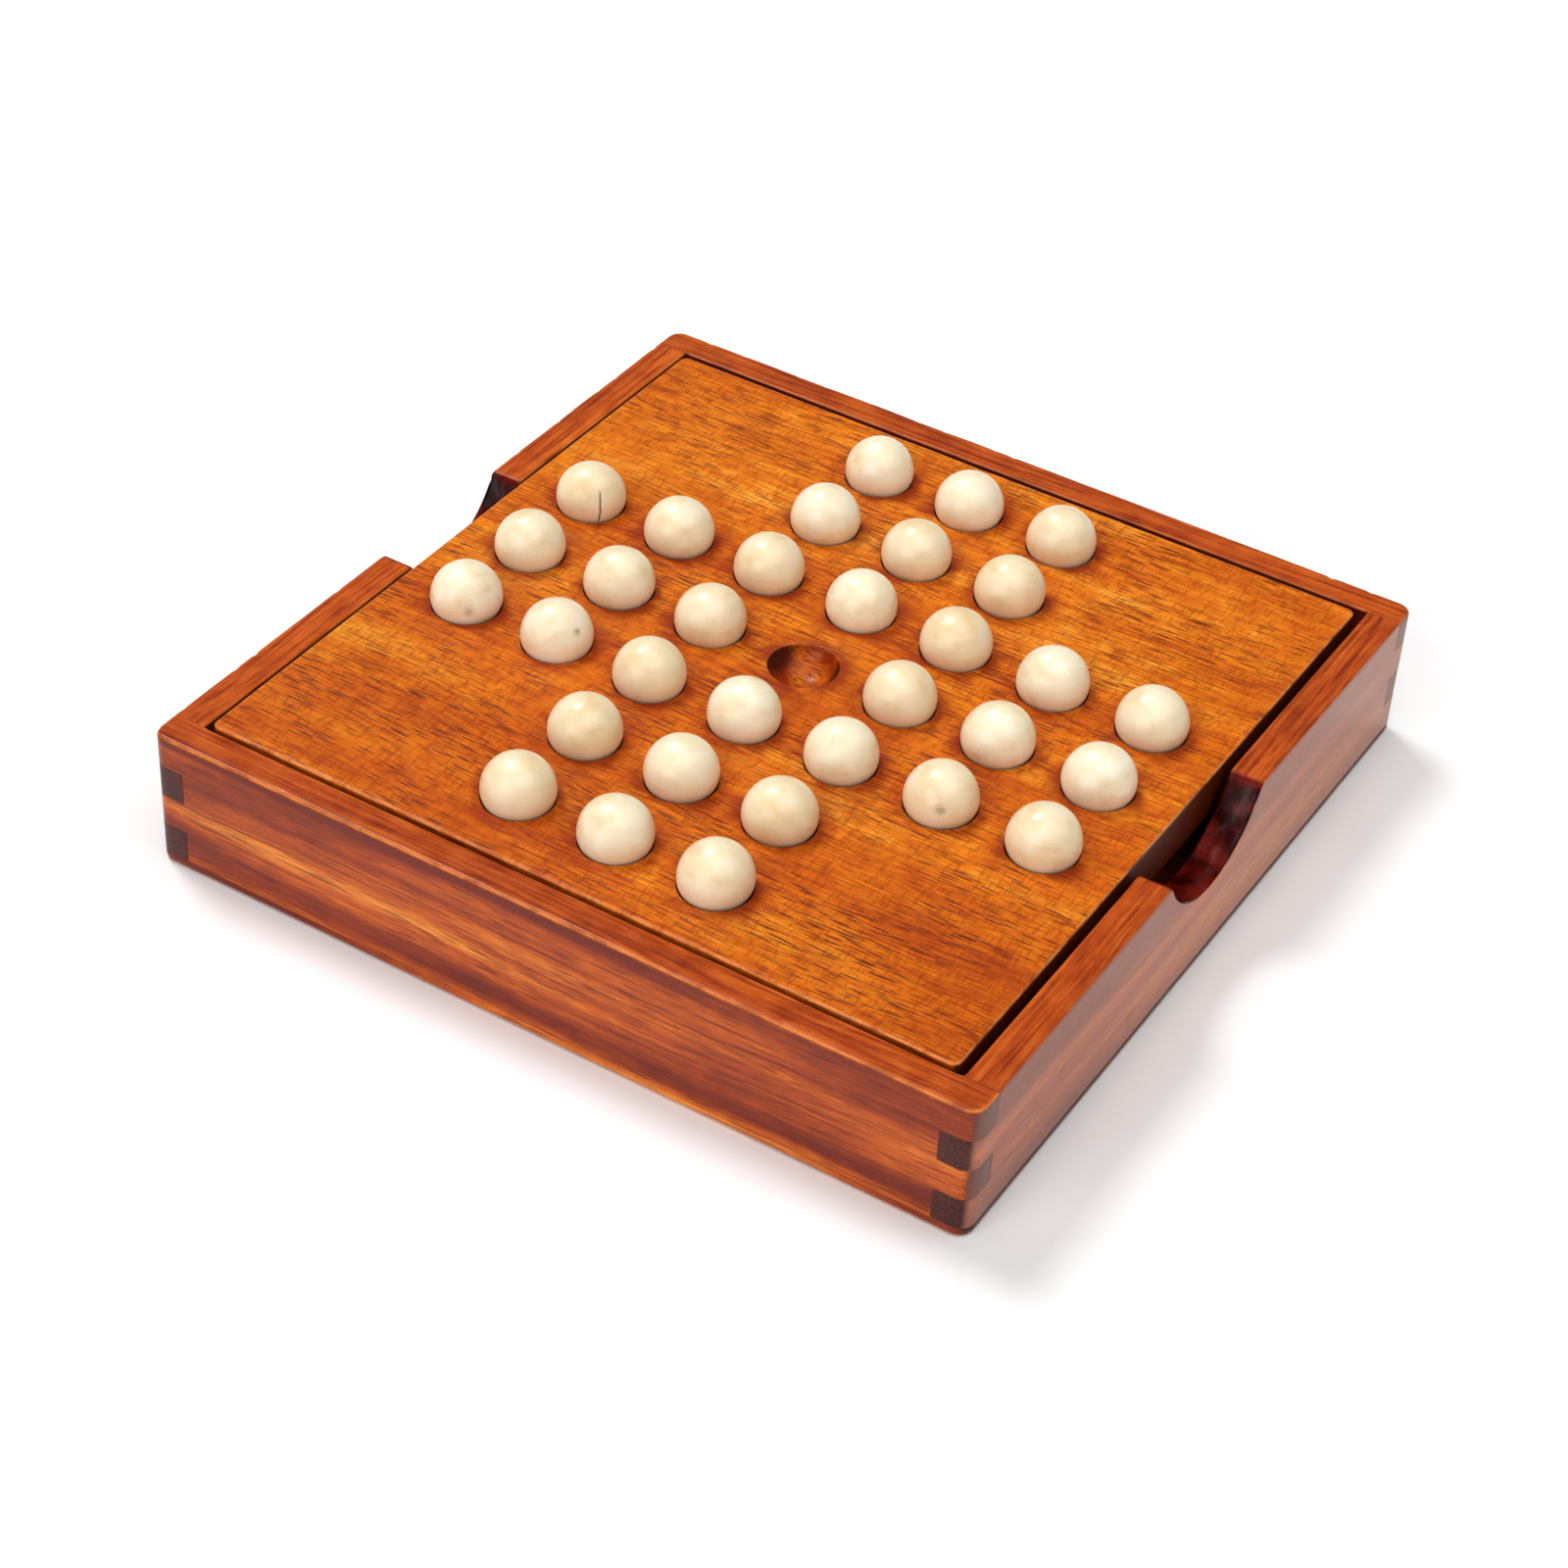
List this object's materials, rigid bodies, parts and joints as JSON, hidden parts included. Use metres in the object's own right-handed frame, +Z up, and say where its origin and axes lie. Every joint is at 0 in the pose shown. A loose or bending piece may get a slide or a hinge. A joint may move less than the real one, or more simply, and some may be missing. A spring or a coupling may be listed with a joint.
{
  "type": "marble solitaire board",
  "caption": "Square finger-jointed wooden box with a lift-out peg-solitaire board of round pockets in its top, and marbles standing in the pockets of a cross.",
  "frame": {"origin": "middle of the box's underside, on the surface it stands on", "axes": "+Z up out of the playing board, +X along the front wall towards the right wall with its finger notch, +Y from the front wall to the back wall"},
  "size_m": [0.2, 0.2, 0.045],
  "materials": {
    "box_wall_wood": "red-brown stained solid wood under gloss varnish, dark end grain at the corner fingers",
    "base_wood": "thin stained panel, satin varnish",
    "ledge_wood": "plain stained strip, matt",
    "board_wood": "amber stained wood with fine dark pores under gloss varnish",
    "marble_lacquer": "ivory lacquered wooden ball, soft gloss"
  },
  "bodies": {
    "box": {"front_wall": "box_wall_wood", "back_wall": "box_wall_wood", "left_wall": "box_wall_wood", "right_wall": "box_wall_wood", "base_panel": "base_wood", "front_ledge": "ledge_wood", "back_ledge": "ledge_wood"},
    "board": {"playing_board": "board_wood"},
    "marble_c1": {"marble_c1": "marble_lacquer"},
    "marble_d1": {"marble_d1": "marble_lacquer"},
    "marble_e1": {"marble_e1": "marble_lacquer"},
    "marble_c2": {"marble_c2": "marble_lacquer"},
    "marble_d2": {"marble_d2": "marble_lacquer"},
    "marble_e2": {"marble_e2": "marble_lacquer"},
    "marble_a3": {"marble_a3": "marble_lacquer"},
    "marble_b3": {"marble_b3": "marble_lacquer"},
    "marble_c3": {"marble_c3": "marble_lacquer"},
    "marble_d3": {"marble_d3": "marble_lacquer"},
    "marble_e3": {"marble_e3": "marble_lacquer"},
    "marble_f3": {"marble_f3": "marble_lacquer"},
    "marble_g3": {"marble_g3": "marble_lacquer"},
    "marble_a4": {"marble_a4": "marble_lacquer"},
    "marble_b4": {"marble_b4": "marble_lacquer"},
    "marble_c4": {"marble_c4": "marble_lacquer"},
    "marble_e4": {"marble_e4": "marble_lacquer"},
    "marble_f4": {"marble_f4": "marble_lacquer"},
    "marble_g4": {"marble_g4": "marble_lacquer"},
    "marble_a5": {"marble_a5": "marble_lacquer"},
    "marble_b5": {"marble_b5": "marble_lacquer"},
    "marble_c5": {"marble_c5": "marble_lacquer"},
    "marble_d5": {"marble_d5": "marble_lacquer"},
    "marble_e5": {"marble_e5": "marble_lacquer"},
    "marble_f5": {"marble_f5": "marble_lacquer"},
    "marble_g5": {"marble_g5": "marble_lacquer"},
    "marble_c6": {"marble_c6": "marble_lacquer"},
    "marble_d6": {"marble_d6": "marble_lacquer"},
    "marble_e6": {"marble_e6": "marble_lacquer"},
    "marble_c7": {"marble_c7": "marble_lacquer"},
    "marble_d7": {"marble_d7": "marble_lacquer"},
    "marble_e7": {"marble_e7": "marble_lacquer"}
  },
  "joints": [
    {"name": "board_lift", "type": "slide", "parent": "box", "child": "board", "axis": [0, 0, 1], "range_m": [0, 0.06]},
    {"name": "marble_c1_lift", "type": "slide", "parent": "board", "child": "marble_c1", "axis": [0, 0, 1], "range_m": [0, 0.03]},
    {"name": "marble_d1_lift", "type": "slide", "parent": "board", "child": "marble_d1", "axis": [0, 0, 1], "range_m": [0, 0.03]},
    {"name": "marble_e1_lift", "type": "slide", "parent": "board", "child": "marble_e1", "axis": [0, 0, 1], "range_m": [0, 0.03]},
    {"name": "marble_c2_lift", "type": "slide", "parent": "board", "child": "marble_c2", "axis": [0, 0, 1], "range_m": [0, 0.03]},
    {"name": "marble_d2_lift", "type": "slide", "parent": "board", "child": "marble_d2", "axis": [0, 0, 1], "range_m": [0, 0.03]},
    {"name": "marble_e2_lift", "type": "slide", "parent": "board", "child": "marble_e2", "axis": [0, 0, 1], "range_m": [0, 0.03]},
    {"name": "marble_a3_lift", "type": "slide", "parent": "board", "child": "marble_a3", "axis": [0, 0, 1], "range_m": [0, 0.03]},
    {"name": "marble_b3_lift", "type": "slide", "parent": "board", "child": "marble_b3", "axis": [0, 0, 1], "range_m": [0, 0.03]},
    {"name": "marble_c3_lift", "type": "slide", "parent": "board", "child": "marble_c3", "axis": [0, 0, 1], "range_m": [0, 0.03]},
    {"name": "marble_d3_lift", "type": "slide", "parent": "board", "child": "marble_d3", "axis": [0, 0, 1], "range_m": [0, 0.03]},
    {"name": "marble_e3_lift", "type": "slide", "parent": "board", "child": "marble_e3", "axis": [0, 0, 1], "range_m": [0, 0.03]},
    {"name": "marble_f3_lift", "type": "slide", "parent": "board", "child": "marble_f3", "axis": [0, 0, 1], "range_m": [0, 0.03]},
    {"name": "marble_g3_lift", "type": "slide", "parent": "board", "child": "marble_g3", "axis": [0, 0, 1], "range_m": [0, 0.03]},
    {"name": "marble_a4_lift", "type": "slide", "parent": "board", "child": "marble_a4", "axis": [0, 0, 1], "range_m": [0, 0.03]},
    {"name": "marble_b4_lift", "type": "slide", "parent": "board", "child": "marble_b4", "axis": [0, 0, 1], "range_m": [0, 0.03]},
    {"name": "marble_c4_lift", "type": "slide", "parent": "board", "child": "marble_c4", "axis": [0, 0, 1], "range_m": [0, 0.03]},
    {"name": "marble_e4_lift", "type": "slide", "parent": "board", "child": "marble_e4", "axis": [0, 0, 1], "range_m": [0, 0.03]},
    {"name": "marble_f4_lift", "type": "slide", "parent": "board", "child": "marble_f4", "axis": [0, 0, 1], "range_m": [0, 0.03]},
    {"name": "marble_g4_lift", "type": "slide", "parent": "board", "child": "marble_g4", "axis": [0, 0, 1], "range_m": [0, 0.03]},
    {"name": "marble_a5_lift", "type": "slide", "parent": "board", "child": "marble_a5", "axis": [0, 0, 1], "range_m": [0, 0.03]},
    {"name": "marble_b5_lift", "type": "slide", "parent": "board", "child": "marble_b5", "axis": [0, 0, 1], "range_m": [0, 0.03]},
    {"name": "marble_c5_lift", "type": "slide", "parent": "board", "child": "marble_c5", "axis": [0, 0, 1], "range_m": [0, 0.03]},
    {"name": "marble_d5_lift", "type": "slide", "parent": "board", "child": "marble_d5", "axis": [0, 0, 1], "range_m": [0, 0.03]},
    {"name": "marble_e5_lift", "type": "slide", "parent": "board", "child": "marble_e5", "axis": [0, 0, 1], "range_m": [0, 0.03]},
    {"name": "marble_f5_lift", "type": "slide", "parent": "board", "child": "marble_f5", "axis": [0, 0, 1], "range_m": [0, 0.03]},
    {"name": "marble_g5_lift", "type": "slide", "parent": "board", "child": "marble_g5", "axis": [0, 0, 1], "range_m": [0, 0.03]},
    {"name": "marble_c6_lift", "type": "slide", "parent": "board", "child": "marble_c6", "axis": [0, 0, 1], "range_m": [0, 0.03]},
    {"name": "marble_d6_lift", "type": "slide", "parent": "board", "child": "marble_d6", "axis": [0, 0, 1], "range_m": [0, 0.03]},
    {"name": "marble_e6_lift", "type": "slide", "parent": "board", "child": "marble_e6", "axis": [0, 0, 1], "range_m": [0, 0.03]},
    {"name": "marble_c7_lift", "type": "slide", "parent": "board", "child": "marble_c7", "axis": [0, 0, 1], "range_m": [0, 0.03]},
    {"name": "marble_d7_lift", "type": "slide", "parent": "board", "child": "marble_d7", "axis": [0, 0, 1], "range_m": [0, 0.03]},
    {"name": "marble_e7_lift", "type": "slide", "parent": "board", "child": "marble_e7", "axis": [0, 0, 1], "range_m": [0, 0.03]}
  ]
}
